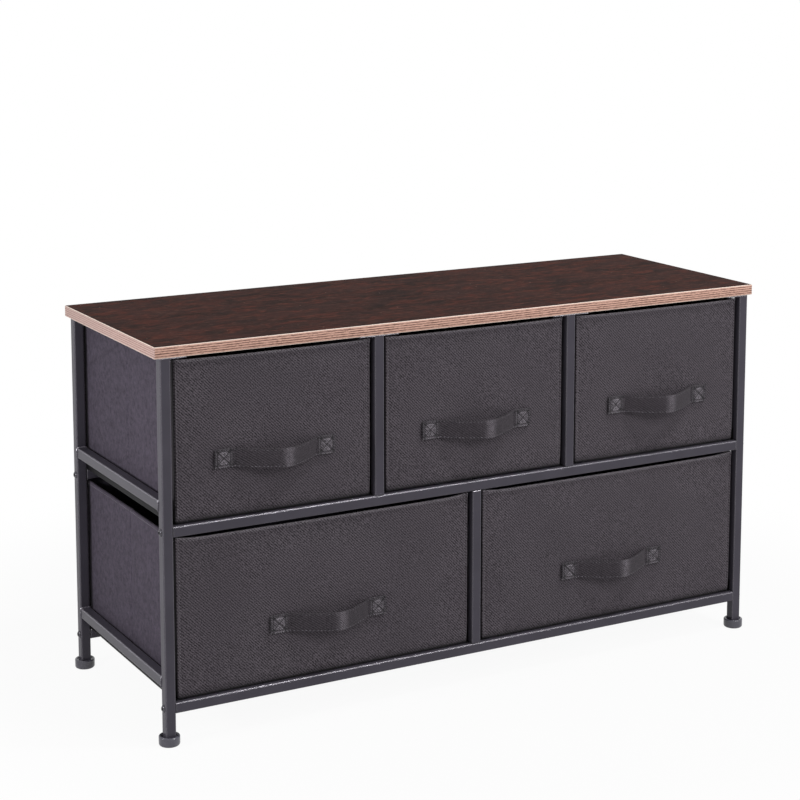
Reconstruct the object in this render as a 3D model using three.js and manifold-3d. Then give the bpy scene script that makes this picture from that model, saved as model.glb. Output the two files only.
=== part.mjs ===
// Wide five-drawer fabric dresser: a particle board top on a bolted frame of square steel tube,
// with five fabric drawers that slide on folded sheet-steel runners and lift out at the front.
// Millimetres, +Z up, the drawers open towards -Y, and the floor is at z = 0.

import * as THREE from 'three';
import { mergeVertices } from 'three/addons/utils/BufferGeometryUtils.js';
import Module from 'manifold-3d';

const wasm = await Module();
wasm.setup();

// Fits and cuts
const seatGap = 0.3;
const holeClearance = 0.3;
const cutOverrun = 2;
const weldDistance = 0.0001;

// Top board
const boardWidth = 1000;
const boardDepth = 350;
const boardThickness = 16;
const boardTop = 555;
const boardArris = 0.8;
const boardSideOverhang = 8;
const boardEndOverhang = 1;

// Square steel tube
const tubeSize = 15;
const tubeWall = 1.2;
const tubeCornerRadius = 2;
const endPlateThickness = 3;

// Heights of the rails' undersides
const lowerRailBottom = 45;
const middleRailBottom = 292;
const sideRailRise = 35;

// Bays across the front
const upperBays = 3;
const lowerBays = 2;

// Plates that hold the board, and the wood screws in them
const boardPlateThickness = 1.6;
const boardPlateReach = 24;
const woodScrewRadius = 1.8;
const woodScrewLength = 11;
const woodScrewHeadRadius = 3.5;
const woodScrewHeadHeight = 1.2;
const woodScrewFaceShare = 0.6;

// Feet
const footRadius = 14.75;
const footBaseRadius = 11.5;
const footHeight = 14;
const footDishDepth = 2.5;
const footDishRadius = 11;
const stemRadius = 4;
const stemLength = 24;
const insertLength = 22;

// Machine screws that hold the rails to the legs
const railScrewRadius = 3;
const railScrewHeadRadius = 5.3;
const railScrewHeadHeight = 3.1;
const railScrewEndReach = 2;
const hexSocketRadius = 2.3;
const hexSocketDepth = 1.9;

// Smaller screws that hold the posts to the middle rails
const postScrewRadius = 2;
const postScrewHeadRadius = 4;
const postScrewHeadHeight = 1.2;
const postScrewFaceShare = 0.7;

// Folded sheet-steel runners
const runnerGauge = 1.2;
const runnerFlangeWidth = 20;
const runnerWallHeight = 18;
const runnerBendRadius = 2;
const runnerSetback = 8;

// Fabric drawers
const drawerHeight = 226;
const drawerDepth = 343;
const drawerRecess = 5;
const drawerSideGap = 4.5;
const drawerWall = 4;
const drawerFrontWall = 6;
const drawerFloor = 3;
const drawerCornerRadius = 4;
const drawerBottomRadius = 2.5;
const hemProud = 0.6;
const hemHeight = 7;
const baseBoardThickness = 3;
const baseBoardClearance = 1;

// Strap handles
const strapLength = 182;
const strapHeight = 26;
const strapThickness = 2.4;
const strapPatch = 26;
const strapProjection = 25;
const strapDroop = 5;
const strapHeightOnDrawer = 83;
const strapBowShare = 0.8;

// Facets
const cornerSteps = 2;
const boreCornerSteps = 1;
const roundSteps = 12;
const footSteps = 20;
const holeSteps = 8;
const bowSteps = 24;
const domeSteps = 3;

// Places that follow from the sizes
const boardUnderside = boardTop - boardThickness;
const frameWidth = boardWidth - 2 * boardSideOverhang;
const frameDepth = boardDepth - 2 * boardEndOverhang;
const lowerRailTop = lowerRailBottom + tubeSize;
const middleRailTop = middleRailBottom + tubeSize;
const backReach = Math.max(boardEndOverhang, footRadius - tubeSize / 2);
const frameFront = (strapProjection - hemProud - drawerRecess - frameDepth - backReach) / 2;
const frameBack = frameFront + frameDepth;
const boardFront = frameFront - boardEndOverhang;
const frontTubeY = frameFront + tubeSize / 2;
const backTubeY = frameBack - tubeSize / 2;
const legX = frameWidth / 2 - tubeSize / 2;
const legFoot = footHeight - footDishDepth + seatGap;
const innerWidth = frameWidth - 2 * tubeSize;
const boreSize = tubeSize - 2 * tubeWall;
const drawerFront = frameFront + drawerRecess;
const runnerLift = seatGap + runnerGauge;
const drawerLift = runnerLift + seatGap;
const runnerLength = frameDepth - 2 * runnerSetback;
const railCentreHeights = { middle: middleRailBottom + tubeSize / 2, bottom: lowerRailBottom + tubeSize / 2 };
const tubeRows = { front: frontTubeY, back: backTubeY };

// Materials
const finishes = {
  laminate: { color: 0x54302a, roughness: 0.45, metalness: 0 },
  powderCoat: { color: 0x45434a, roughness: 0.5, metalness: 0.3 },
  runnerSteel: { color: 0x3c3a40, roughness: 0.45, metalness: 0.4 },
  footPlastic: { color: 0x2c2b2d, roughness: 0.25, metalness: 0 },
  screwSteel: { color: 0x1c1b1e, roughness: 0.3, metalness: 0.7 },
  drawerFabric: { color: 0x48434a, roughness: 0.95, metalness: 0 },
  baseFabric: { color: 0x3f3a42, roughness: 0.95, metalness: 0 },
  strapFabric: { color: 0x423d44, roughness: 0.9, metalness: 0 },
};

// Helpers: closed meshes become solids for cutting, and come back as geometries
function solidOf(geometry) {
  geometry.deleteAttribute('normal');
  geometry.deleteAttribute('uv');
  const merged = mergeVertices(geometry, weldDistance);
  return new wasm.Manifold(new wasm.Mesh({
    numProp: 3,
    vertProperties: new Float32Array(merged.attributes.position.array),
    triVerts: new Uint32Array(merged.index.array),
  }));
}

function geometryOf(solid) {
  const mesh = solid.getMesh();
  const geometry = new THREE.BufferGeometry();
  geometry.setAttribute('position', new THREE.BufferAttribute(new Float32Array(mesh.vertProperties), 3));
  geometry.setIndex(new THREE.BufferAttribute(new Uint32Array(mesh.triVerts), 1));
  geometry.computeVertexNormals();
  return geometry;
}

function meshOf(name, solid, finish) {
  const mesh = new THREE.Mesh(geometryOf(solid), new THREE.MeshStandardMaterial(finishes[finish]));
  mesh.name = name;
  return mesh;
}

function roundedRectangle(width, height, radius) {
  const right = width / 2;
  const top = height / 2;
  const shape = new THREE.Shape();
  shape.absarc(right - radius, top - radius, radius, 0, Math.PI / 2);
  shape.absarc(radius - right, top - radius, radius, Math.PI / 2, Math.PI);
  shape.absarc(radius - right, radius - top, radius, Math.PI, 1.5 * Math.PI);
  shape.absarc(right - radius, radius - top, radius, 1.5 * Math.PI, 2 * Math.PI);
  shape.closePath();
  return shape;
}

function prism(shape, length, settings = {}) {
  const options = { depth: length, bevelEnabled: false, curveSegments: cornerSteps, ...settings };
  return solidOf(new THREE.ExtrudeGeometry(shape, options));
}

function block(width, depth, height) {
  return solidOf(new THREE.BoxGeometry(width, depth, height)).translate([0, 0, height / 2]);
}

function rod(radius, length, steps = holeSteps) {
  const geometry = new THREE.CylinderGeometry(radius, radius, length, steps);
  geometry.rotateX(Math.PI / 2);
  return solidOf(geometry).translate([0, 0, length / 2]);
}

// A drilled hole's flats, not its corners, keep the clearance round a shank
function drill(shankRadius, length) {
  return rod((shankRadius + holeClearance) / Math.cos(Math.PI / holeSteps), length);
}

function turned(points, steps = roundSteps) {
  const geometry = new THREE.LatheGeometry(points, steps);
  geometry.rotateX(Math.PI / 2);
  return solidOf(geometry);
}

// A tube stands on z = 0 and runs up to its length, open at both ends
function squareTube(length) {
  const outside = prism(roundedRectangle(tubeSize, tubeSize, tubeCornerRadius), length);
  const boreShape = roundedRectangle(boreSize, boreSize, tubeCornerRadius - tubeWall);
  const bore = prism(boreShape, length + 2 * cutOverrun, { curveSegments: boreCornerSteps });
  return outside.subtract(bore.translate([0, 0, -cutOverrun]));
}

function endPlate() {
  return prism(roundedRectangle(tubeSize, tubeSize, tubeCornerRadius), endPlateThickness);
}

function arcPoints(centreX, centreY, radius, from, to, steps = cornerSteps) {
  const points = [];
  for (let step = 0; step <= steps; step += 1) {
    const angle = from + (to - from) * step / steps;
    points.push(new THREE.Vector2(centreX + radius * Math.cos(angle), centreY + radius * Math.sin(angle)));
  }
  return points;
}

// Particle board top with an eased arris and blind pilot holes for the wood screws
const pilotPlaces = [];

function topBoard() {
  const inset = 2 * boardArris;
  const outline = roundedRectangle(boardWidth - inset, boardDepth - inset, boardArris);
  const bevel = { bevelEnabled: true, bevelSize: boardArris, bevelThickness: boardArris, bevelSegments: 2 };
  let board = prism(outline, boardThickness - inset, { ...bevel, curveSegments: boreCornerSteps });
  board = board.translate([0, boardDepth / 2 + boardFront, boardUnderside + boardArris]);
  const holeDepth = woodScrewLength + holeClearance + seatGap;
  const pilot = drill(woodScrewRadius, holeDepth + cutOverrun);
  for (const [x, y] of pilotPlaces) {
    board = board.subtract(pilot.translate([x, y, boardUnderside - cutOverrun]));
  }
  return board;
}

// The wood screw is welded into one solid with its plate; its head hangs under the plate
function woodScrew() {
  const head = turned([
    new THREE.Vector2(0, 0),
    new THREE.Vector2(woodScrewHeadRadius * woodScrewFaceShare, 0),
    new THREE.Vector2(woodScrewHeadRadius, woodScrewHeadHeight),
    new THREE.Vector2(0, woodScrewHeadHeight),
  ], holeSteps);
  const shank = rod(woodScrewRadius, woodScrewHeadHeight + boardPlateThickness + woodScrewLength);
  return head.add(shank);
}

// A plate caps a tube's top, reaches out along X and carries its wood screws
function boardPlate(length, reaches) {
  const left = reaches.includes(-1) ? boardPlateReach : 0;
  const right = reaches.includes(1) ? boardPlateReach : 0;
  const plateShape = roundedRectangle(tubeSize + left + right, tubeSize, tubeCornerRadius);
  let plate = prism(plateShape, boardPlateThickness).translate([(right - left) / 2, 0, length - boardPlateThickness]);
  for (const side of reaches) {
    const x = side * (tubeSize + boardPlateReach) / 2;
    plate = plate.add(woodScrew().translate([x, 0, length - boardPlateThickness - woodScrewHeadHeight]));
  }
  return plate;
}

// Legs: closed below by a threaded insert for the foot, and drilled across for the rail screws
const legLength = boardUnderside - seatGap - legFoot;

function leg(inward) {
  const insert = prism(roundedRectangle(tubeSize, tubeSize, tubeCornerRadius), insertLength);
  let solid = squareTube(legLength).add(insert).add(boardPlate(legLength, [inward]));
  const stemBore = drill(stemRadius, insertLength + 2 * cutOverrun);
  solid = solid.subtract(stemBore.translate([0, 0, -cutOverrun]));
  const crossLength = tubeSize + 2 * cutOverrun;
  const crossHole = drill(railScrewRadius, crossLength).rotate([0, 90, 0]);
  for (const height of Object.values(railCentreHeights)) {
    solid = solid.subtract(crossHole.translate([-crossLength / 2, 0, height - legFoot]));
  }
  return solid;
}

// Side rails are welded between the front and back legs
const sideRailLength = frameDepth - 2 * tubeSize - 2 * seatGap;

function sideRail() {
  return squareTube(sideRailLength).rotate([-90, 0, 0]).translate([0, frontTubeY + tubeSize / 2 + seatGap, 0]);
}

// Front and back rails: plates with threaded holes close their ends, and posts are screwed through them
const railLength = innerWidth - 2 * seatGap;

function crossRail(throughPlaces, pegPlaces) {
  let solid = squareTube(railLength).add(endPlate()).add(endPlate().translate([0, 0, railLength - endPlateThickness]));
  const threaded = drill(railScrewRadius, railLength + 2 * cutOverrun);
  solid = solid.subtract(threaded.translate([0, 0, -cutOverrun]));
  solid = solid.rotate([0, 90, 0]).translate([-railLength / 2, 0, 0]);
  const through = drill(postScrewRadius, tubeSize + 2 * cutOverrun);
  for (const x of throughPlaces) {
    solid = solid.subtract(through.translate([x, 0, -tubeSize / 2 - cutOverrun]));
  }
  const pegHole = drill(postScrewRadius, tubeWall + 2 * cutOverrun);
  for (const x of pegPlaces) {
    solid = solid.subtract(pegHole.translate([x, 0, tubeSize / 2 - tubeWall - cutOverrun]));
  }
  return solid;
}

// Centres of the posts that divide a row into equal bays
function postPlaces(bays) {
  const bayWidth = (innerWidth - (bays - 1) * tubeSize) / bays;
  return Array.from({ length: bays - 1 }, (_, index) => (index + 1) * (bayWidth + tubeSize) - (innerWidth + tubeSize) / 2);
}

function bayPlaces(bays) {
  const bayWidth = (innerWidth - (bays - 1) * tubeSize) / bays;
  return Array.from({ length: bays }, (_, index) => index * (bayWidth + tubeSize) - (innerWidth - bayWidth) / 2);
}

const upperPostLength = boardUnderside - middleRailTop - 2 * seatGap;
const lowerPostLength = middleRailBottom - lowerRailTop - 2 * seatGap;

function plateBore() {
  return drill(postScrewRadius, endPlateThickness + 2 * cutOverrun).translate([0, 0, -cutOverrun]);
}

function upperPost() {
  const tube = squareTube(upperPostLength).add(endPlate()).add(boardPlate(upperPostLength, [-1, 1]));
  return tube.subtract(plateBore());
}

// The lower post is screwed at its top and stands on a peg in the bottom rail
function lowerPost() {
  const top = endPlate().subtract(plateBore()).translate([0, 0, lowerPostLength - endPlateThickness]);
  const foot = endPlate();
  const pegLength = seatGap + tubeWall + postScrewRadius;
  const peg = rod(postScrewRadius, pegLength + endPlateThickness).translate([0, 0, -pegLength]);
  const vent = rod(postScrewRadius, tubeSize).rotate([0, 90, 0]).translate([0, 0, endPlateThickness + 2 * postScrewRadius]);
  return squareTube(lowerPostLength).add(top).add(foot).add(peg).subtract(vent);
}

// Round moulded foot with a dished top that the leg stands in, and a threaded stem
function foot() {
  const edge = footRadius - footBaseRadius;
  const rimRadius = (footRadius - footDishRadius) / 2;
  const side = arcPoints(footRadius - edge, edge, edge, -Math.PI / 2, 0, 3);
  const rim = arcPoints(footRadius - rimRadius, footHeight - rimRadius, rimRadius, 0, Math.PI, 4);
  const dishFloor = footHeight - footDishDepth;
  return turned([
    new THREE.Vector2(0, 0),
    ...side,
    ...rim,
    new THREE.Vector2(footDishRadius - footDishDepth / 2, dishFloor),
    new THREE.Vector2(stemRadius, dishFloor),
    new THREE.Vector2(stemRadius, dishFloor + stemLength),
    new THREE.Vector2(0, dishFloor + stemLength),
  ], footSteps);
}

// Button-head screw with a hexagon socket: head below z = 0, shank up along +Z
function buttonScrew(shankLength) {
  const dome = [];
  for (let step = 0; step <= domeSteps; step += 1) {
    const angle = (Math.PI / 2) * step / domeSteps;
    dome.push(new THREE.Vector2(railScrewHeadRadius * Math.sin(angle), -railScrewHeadHeight * Math.cos(angle)));
  }
  const head = turned([...dome, new THREE.Vector2(0, 0)]);
  const shank = rod(railScrewRadius, shankLength + railScrewHeadHeight / 2).translate([0, 0, -railScrewHeadHeight / 2]);
  const socket = rod(hexSocketRadius, hexSocketDepth + cutOverrun, 6);
  return head.add(shank).subtract(socket.translate([0, 0, -railScrewHeadHeight - cutOverrun]));
}

// Low-headed screw, head below z = 0 and shank up along +Z
function postScrew() {
  const head = turned([
    new THREE.Vector2(0, -postScrewHeadHeight),
    new THREE.Vector2(postScrewHeadRadius * postScrewFaceShare, -postScrewHeadHeight),
    new THREE.Vector2(postScrewHeadRadius, 0),
    new THREE.Vector2(0, 0),
  ]);
  const reach = seatGap + tubeSize + seatGap + endPlateThickness + postScrewRadius;
  return head.add(rod(postScrewRadius, reach + postScrewHeadHeight / 2).translate([0, 0, -postScrewHeadHeight / 2]));
}

// Angle runner: a wall on its left and a flange to its right, bent from one strip
function angleProfile(flangeWidth) {
  const shape = new THREE.Shape();
  shape.moveTo(flangeWidth, 0);
  shape.lineTo(flangeWidth, runnerGauge);
  shape.lineTo(runnerGauge, runnerGauge);
  shape.lineTo(runnerGauge, runnerWallHeight);
  shape.lineTo(0, runnerWallHeight);
  shape.lineTo(0, runnerBendRadius);
  shape.absarc(runnerBendRadius, runnerBendRadius, runnerBendRadius, Math.PI, 1.5 * Math.PI);
  shape.closePath();
  return shape;
}

function angleRunner(flangeWidth = runnerFlangeWidth) {
  return prism(angleProfile(flangeWidth), runnerLength).rotate([90, 0, 0]).translate([0, runnerLength, 0]);
}

// Two wide angles back to back make the shared runner; its ends are forked around the posts
function forkedRunner() {
  const half = angleRunner(tubeSize / 2 + runnerFlangeWidth);
  const forkDepth = tubeSize + seatGap - runnerSetback;
  const fork = block(tubeSize + 2 * seatGap, 2 * forkDepth, runnerWallHeight + 2 * cutOverrun).translate([0, 0, -cutOverrun]);
  return half.add(half.mirror([1, 0, 0])).subtract(fork).subtract(fork.translate([0, runnerLength, 0]));
}

// Fabric drawer: stiffened walls and floor in one, with a turned-over hem round the rim
function drawerBox(width) {
  const bodyWidth = width - 2 * hemProud;
  const bodyDepth = drawerDepth - 2 * hemProud;
  const inset = 2 * drawerBottomRadius;
  const bevel = { bevelEnabled: true, bevelSize: drawerBottomRadius, bevelThickness: drawerBottomRadius, bevelSegments: 2 };
  const bodyShape = roundedRectangle(bodyWidth - inset, bodyDepth - inset, drawerCornerRadius - drawerBottomRadius);
  const body = prism(bodyShape, drawerHeight, bevel).translate([0, 0, drawerBottomRadius]);
  const aboveRim = block(2 * width, 2 * drawerDepth, drawerHeight).translate([0, 0, drawerHeight]);
  const hemShape = roundedRectangle(width, drawerDepth, drawerCornerRadius + hemProud);
  const hem = prism(hemShape, hemHeight).translate([0, 0, drawerHeight - hemHeight]);
  const mouthWidth = width - 2 * hemProud - 2 * drawerWall;
  const mouthDepth = drawerDepth - 2 * hemProud - drawerFrontWall - drawerWall;
  const mouthShape = roundedRectangle(mouthWidth, mouthDepth, drawerCornerRadius - drawerWall / 2);
  const mouth = prism(mouthShape, drawerHeight).translate([0, (drawerFrontWall - drawerWall) / 2, drawerFloor]);
  return body.subtract(aboveRim).add(hem).subtract(mouth);
}

// Stiff base board that lies loose on the drawer's fabric floor
function baseBoard(width) {
  const loose = 2 * (hemProud + baseBoardClearance);
  const boardShape = roundedRectangle(
    width - loose - 2 * drawerWall,
    drawerDepth - loose - drawerFrontWall - drawerWall,
    drawerCornerRadius - drawerWall / 2,
  );
  return prism(boardShape, baseBoardThickness).translate([0, (drawerFrontWall - drawerWall) / 2, drawerFloor + seatGap]);
}

// Strap handle: flat end patches on the front, and a bow between them that stands off and droops
function strapHandle() {
  const span = strapLength / 2 - strapPatch;
  const restY = seatGap + strapThickness / 2;
  const bowOut = strapProjection - strapThickness / 2 - restY;
  const bow = (x) => (Math.abs(x) >= span ? 0 : Math.cos(Math.PI * x / span / 2) ** strapBowShare);
  const centre = [];
  for (let step = -bowSteps / 2; step <= bowSteps / 2; step += 1) {
    const x = span * Math.sin(Math.PI * step / bowSteps);
    centre.push(new THREE.Vector2(x, -restY - bowOut * bow(x)));
  }
  centre.unshift(new THREE.Vector2(-strapLength / 2, -restY));
  centre.push(new THREE.Vector2(strapLength / 2, -restY));
  const side = (sign) => centre.map((point, index) => {
    const before = centre[Math.max(index - 1, 0)];
    const after = centre[Math.min(index + 1, centre.length - 1)];
    const along = after.clone().sub(before).normalize();
    return new THREE.Vector2(point.x + sign * along.y * strapThickness / 2, point.y - sign * along.x * strapThickness / 2);
  });
  const outline = new THREE.Shape([...side(1), ...side(-1).reverse()]);
  const geometry = new THREE.ExtrudeGeometry(outline, { depth: strapHeight, bevelEnabled: false });
  const position = geometry.attributes.position;
  for (let index = 0; index < position.count; index += 1) {
    const droop = strapDroop * bow(position.getX(index));
    position.setZ(index, position.getZ(index) - droop - strapHeight / 2);
  }
  return solidOf(geometry);
}

// The upper posts' and legs' plates say where the board is drilled
const upperPosts = postPlaces(upperBays);
const lowerPosts = postPlaces(lowerBays);
const plateScrewOffset = (tubeSize + boardPlateReach) / 2;
for (const y of Object.values(tubeRows)) {
  pilotPlaces.push([-legX + plateScrewOffset, y], [legX - plateScrewOffset, y]);
  for (const x of upperPosts) pilotPlaces.push([x - plateScrewOffset, y], [x + plateScrewOffset, y]);
}

const dresser = new THREE.Group();

function place(name, solid, finish, x = 0, y = 0, z = 0) {
  const mesh = meshOf(name, solid, finish);
  mesh.position.set(x, y, z);
  dresser.add(mesh);
}

place('top_board', topBoard(), 'laminate');

// Frame: legs, feet and the screws through the legs
for (const [row, y] of Object.entries(tubeRows)) {
  for (const [side, outward] of [['left', -1], ['right', 1]]) {
    place(`leg_${row}_${side}`, leg(-outward), 'powderCoat', outward * legX, y, legFoot);
    place(`foot_${row}_${side}`, foot(), 'footPlastic', outward * legX, y);
    for (const [level, height] of Object.entries(railCentreHeights)) {
      const reach = seatGap + tubeSize + seatGap + endPlateThickness + railScrewEndReach;
      const screw = buttonScrew(reach).rotate([0, outward * -90, 0]);
      place(`rail_screw_${level}_${row}_${side}`, screw, 'screwSteel', outward * (frameWidth / 2 + seatGap), y, height);
    }
  }
}

// Frame: the rails that cross the front and back, and those along the sides
for (const [row, y] of Object.entries(tubeRows)) {
  const middleRail = crossRail([...upperPosts, ...lowerPosts], []);
  place(`${row}_rail_middle`, middleRail, 'powderCoat', 0, y, railCentreHeights.middle);
  place(`${row}_rail_bottom`, crossRail([], lowerPosts), 'powderCoat', 0, y, railCentreHeights.bottom);
}
for (const [side, outward] of [['left', -1], ['right', 1]]) {
  for (const [level, height] of Object.entries(railCentreHeights)) {
    place(`side_rail_${level}_${side}`, sideRail(), 'powderCoat', outward * legX, 0, height + sideRailRise);
  }
}

// Posts between the drawers, and their screws
const postSides = ['left', 'right'];
for (const [row, y] of Object.entries(tubeRows)) {
  upperPosts.forEach((x, index) => {
    const side = postSides[index] ?? index;
    place(`upper_post_${row}_${side}`, upperPost(), 'powderCoat', x, y, middleRailTop + seatGap);
    place(`upper_post_screw_${row}_${side}`, postScrew(), 'screwSteel', x, y, middleRailBottom - seatGap);
  });
  lowerPosts.forEach((x, index) => {
    const suffix = index === 0 ? '' : `_${index}`;
    place(`lower_post_${row}${suffix}`, lowerPost(), 'powderCoat', x, y, lowerRailTop + seatGap);
    const screw = postScrew().rotate([180, 0, 0]);
    place(`lower_post_screw_${row}${suffix}`, screw, 'screwSteel', x, y, middleRailTop + seatGap);
  });
}

// Runners: an angle against each pair of legs, and a forked one between each pair of posts
const runnerY = frameFront + runnerSetback;
const wallX = innerWidth / 2 - seatGap;
const rows = [
  ['upper', upperBays, upperPosts, middleRailTop, ['left', 'centre', 'right']],
  ['lower', lowerBays, lowerPosts, lowerRailTop, ['left', 'right']],
];
for (const [level, bays, posts, railTop, bayNames] of rows) {
  const runnerZ = railTop + seatGap;
  place(`runner_${level}_left`, angleRunner(), 'runnerSteel', -wallX, runnerY, runnerZ);
  place(`runner_${level}_right`, angleRunner().mirror([1, 0, 0]), 'runnerSteel', wallX, runnerY, runnerZ);
  posts.forEach((x, index) => {
    const suffix = posts.length === 1 ? '' : `_${postSides[index] ?? index}`;
    place(`runner_${level}_inner${suffix}`, forkedRunner(), 'runnerSteel', x, runnerY, runnerZ);
  });
  const bayWidth = (innerWidth - (bays - 1) * tubeSize) / bays;
  bayPlaces(bays).forEach((x, index) => {
    const bay = `${level}_${bayNames[index] ?? index}`;
    const width = bayWidth - 2 * drawerSideGap;
    const drawer = new THREE.Group();
    drawer.position.set(x, drawerFront + drawerDepth / 2, railTop + drawerLift);
    drawer.add(meshOf(`drawer_box_${bay}`, drawerBox(width), 'drawerFabric'));
    drawer.add(meshOf(`drawer_base_${bay}`, baseBoard(width), 'baseFabric'));
    const strap = meshOf(`drawer_strap_${bay}`, strapHandle(), 'strapFabric');
    strap.position.set(0, hemProud - drawerDepth / 2, strapHeightOnDrawer);
    drawer.add(strap);
    dresser.add(drawer);
  });
}

export default dresser;
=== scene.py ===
# %% [markdown]
# # A wide fabric drawer dresser, in cells
#
# The dresser is a bolted frame of square steel tube with a wood-look board on top and five fabric
# drawers. The frame's tubes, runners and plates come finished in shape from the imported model, so
# they only need a coat here. Cloth, stitching, mouldings and the board are modelled in this file,
# each in the place that its plain solid holds in the model.

# %% Load the frame
import math

import bmesh
import bpy
from mathutils import Matrix, Vector, noise
from mathutils.bvhtree import BVHTree


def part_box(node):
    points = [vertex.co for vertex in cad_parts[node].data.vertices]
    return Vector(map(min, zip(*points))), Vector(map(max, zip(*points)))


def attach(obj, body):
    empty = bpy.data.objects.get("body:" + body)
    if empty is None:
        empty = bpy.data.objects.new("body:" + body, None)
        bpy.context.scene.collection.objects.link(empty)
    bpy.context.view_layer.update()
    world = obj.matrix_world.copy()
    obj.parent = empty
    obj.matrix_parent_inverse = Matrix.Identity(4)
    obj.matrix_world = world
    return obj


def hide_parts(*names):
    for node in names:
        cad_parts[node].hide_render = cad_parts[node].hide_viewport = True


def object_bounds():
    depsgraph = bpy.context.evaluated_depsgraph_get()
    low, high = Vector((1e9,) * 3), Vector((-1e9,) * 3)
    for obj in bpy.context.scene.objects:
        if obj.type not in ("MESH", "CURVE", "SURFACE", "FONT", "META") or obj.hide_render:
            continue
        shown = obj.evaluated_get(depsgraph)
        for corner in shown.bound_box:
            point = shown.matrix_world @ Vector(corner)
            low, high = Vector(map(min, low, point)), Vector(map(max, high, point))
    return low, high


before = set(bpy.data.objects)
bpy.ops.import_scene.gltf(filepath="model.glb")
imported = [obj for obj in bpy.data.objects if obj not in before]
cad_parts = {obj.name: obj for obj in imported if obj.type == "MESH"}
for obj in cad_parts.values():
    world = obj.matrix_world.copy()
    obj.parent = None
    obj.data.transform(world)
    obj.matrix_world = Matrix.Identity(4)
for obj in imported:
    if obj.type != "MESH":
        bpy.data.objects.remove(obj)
scene = bpy.context.scene
MM = 0.001
cad_low, cad_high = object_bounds()
cad_size = cad_high - cad_low
print("Frame:", len(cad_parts), "nodes,", [round(length / MM) for length in cad_size], "mm")

# %% [markdown]
# ## Camera
#
# The camera stands left of the dresser at about a metre high and looks slightly down. Its place
# and its long lens were worked out from the corners of the board and the feet, so that the front
# edge of the board falls across the picture as steeply as it should. The camera tilts down only a
# little, and the vertical shift takes the picture below where it points, so the legs stay upright.

# %% Camera
camera_place = Vector((-1449.4, -2549.1, 1084.3)) * MM
camera_turn = math.radians(29.01)
camera_tilt = math.radians(8.07)
focal_length_pixels = 1966.0
picture_width_pixels = 800
picture_drop_share = -0.22375

camera = bpy.data.objects.new("camera", bpy.data.cameras.new("camera"))
scene.collection.objects.link(camera)
camera.location = camera_place
camera.rotation_euler = (math.pi / 2 - camera_tilt, 0, -camera_turn)
camera.data.lens = camera.data.sensor_width * focal_length_pixels / picture_width_pixels
camera.data.shift_y = picture_drop_share
scene.camera = camera
scene.view_settings.view_transform = "Standard"
print("Lens:", round(camera.data.lens, 1), "mm")

# %% [markdown]
# ## Helpers for materials
#
# Every finish below is a node material. One function adds a node with its settings and links, and
# another turns a colour as it is read off a picture (sRGB) into the linear values that a renderer
# works with. Patterns are laid out in real millimetres on the object's own coordinates, so they
# stay on the piece when it moves. What is the same all over a surface is set on the shader itself.


# %% Colour, node and material helpers
def linear(hex_colour):
    """A colour like "#8a6f5c", as linear red, green, blue and alpha."""
    channels = [int(hex_colour[start:start + 2], 16) / 255 for start in (1, 3, 5)]
    return (*[c / 12.92 if c <= 0.04045 else ((c + 0.055) / 1.055) ** 2.4 for c in channels], 1.0)


def first_output(node):
    """The first of a node's outputs that is in use with its settings."""
    return next(output for output in node.outputs if output.enabled)


def add_node(tree, kind, inputs=None, into=None, **settings):
    """Adds a node; its inputs are values, hex colours, sockets or nodes.

    into is a socket that it feeds, or the name of one on the Principled shader.
    """
    node = tree.nodes.new("ShaderNode" + kind)
    for name, value in settings.items():
        setattr(node, name, value)
    for socket, source in (inputs or {}).items():
        if isinstance(source, bpy.types.Node):
            source = first_output(source)
        if isinstance(source, bpy.types.NodeSocket):
            tree.links.new(source, node.inputs[socket])
        else:
            node.inputs[socket].default_value = linear(source) if isinstance(source, str) else source
    if into:
        target = tree.nodes["Principled BSDF"].inputs[into] if isinstance(into, str) else into
        tree.links.new(first_output(node), target)
    return node


def start_material(name, finish=None):
    """A new material whose shader has a finish, with its tree and the object's coordinates."""
    material = bpy.data.materials.new(name)
    material.use_nodes = True
    tree = material.node_tree
    for socket, value in (finish or {}).items():
        tree.nodes["Principled BSDF"].inputs[socket].default_value = value
    place = add_node(tree, "TexCoord").outputs["Object"]
    print("Finish:", name)
    return material, tree, place


# A Mix node set to colours has its factor first, and its two colours at these numbers
FACTOR, FIRST, SECOND = 0, 6, 7

# %% [markdown]
# ## Light, floor and backdrop
#
# The dresser stands in a bright white studio. A soft world lights it from everywhere, and a large
# lamp high on the right lights the fronts. A small one on the left, level with the front legs,
# lights the sides without reaching the posts, and one overhead draws a thin line along the top
# arrises of the rails. The white of the backdrop is a matter of colour: camera, glossy and
# transmission rays see plain white, and other rays the softer light. The floor mixes plain white
# in for the same rays, wholly so further off, which hides its edge and leaves only a pale shadow
# under the dresser.


# %% Rays that see plain white
def seen_share(tree):
    """1 for camera, glossy and transmission rays, and 0 for the rays that carry light to a surface."""
    rays = add_node(tree, "LightPath")
    seen = rays.outputs["Is Camera Ray"]
    for kind in ("Is Glossy Ray", "Is Transmission Ray"):
        seen = add_node(tree, "Math", {0: seen, 1: rays.outputs[kind]}, operation="MAXIMUM")
    return seen


# %% World
world_light = 0.42
world = bpy.data.worlds.new("studio")
scene.world = world
world.use_nodes = True
tree = world.node_tree
background = tree.nodes["Background"]
background.inputs["Color"].default_value = linear("#ffffff")
add_node(tree, "MapRange", {"Value": seen_share(tree), "To Min": world_light, "To Max": 1.0},
         into=background.inputs["Strength"])


# %% Lamps
def area_lamp(name, place, target, width, watts):
    """A square soft lamp at a place, turned to face a target."""
    lamp = bpy.data.objects.new(name, bpy.data.lights.new(name, "AREA"))
    scene.collection.objects.link(lamp)
    lamp.location = place
    lamp.rotation_euler = (Vector(target) - Vector(place)).to_track_quat("-Z", "Y").to_euler()
    lamp.data.size = width
    lamp.data.energy = watts
    lamp.visible_camera = False
    print(name, "gives", watts, "watts")


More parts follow.
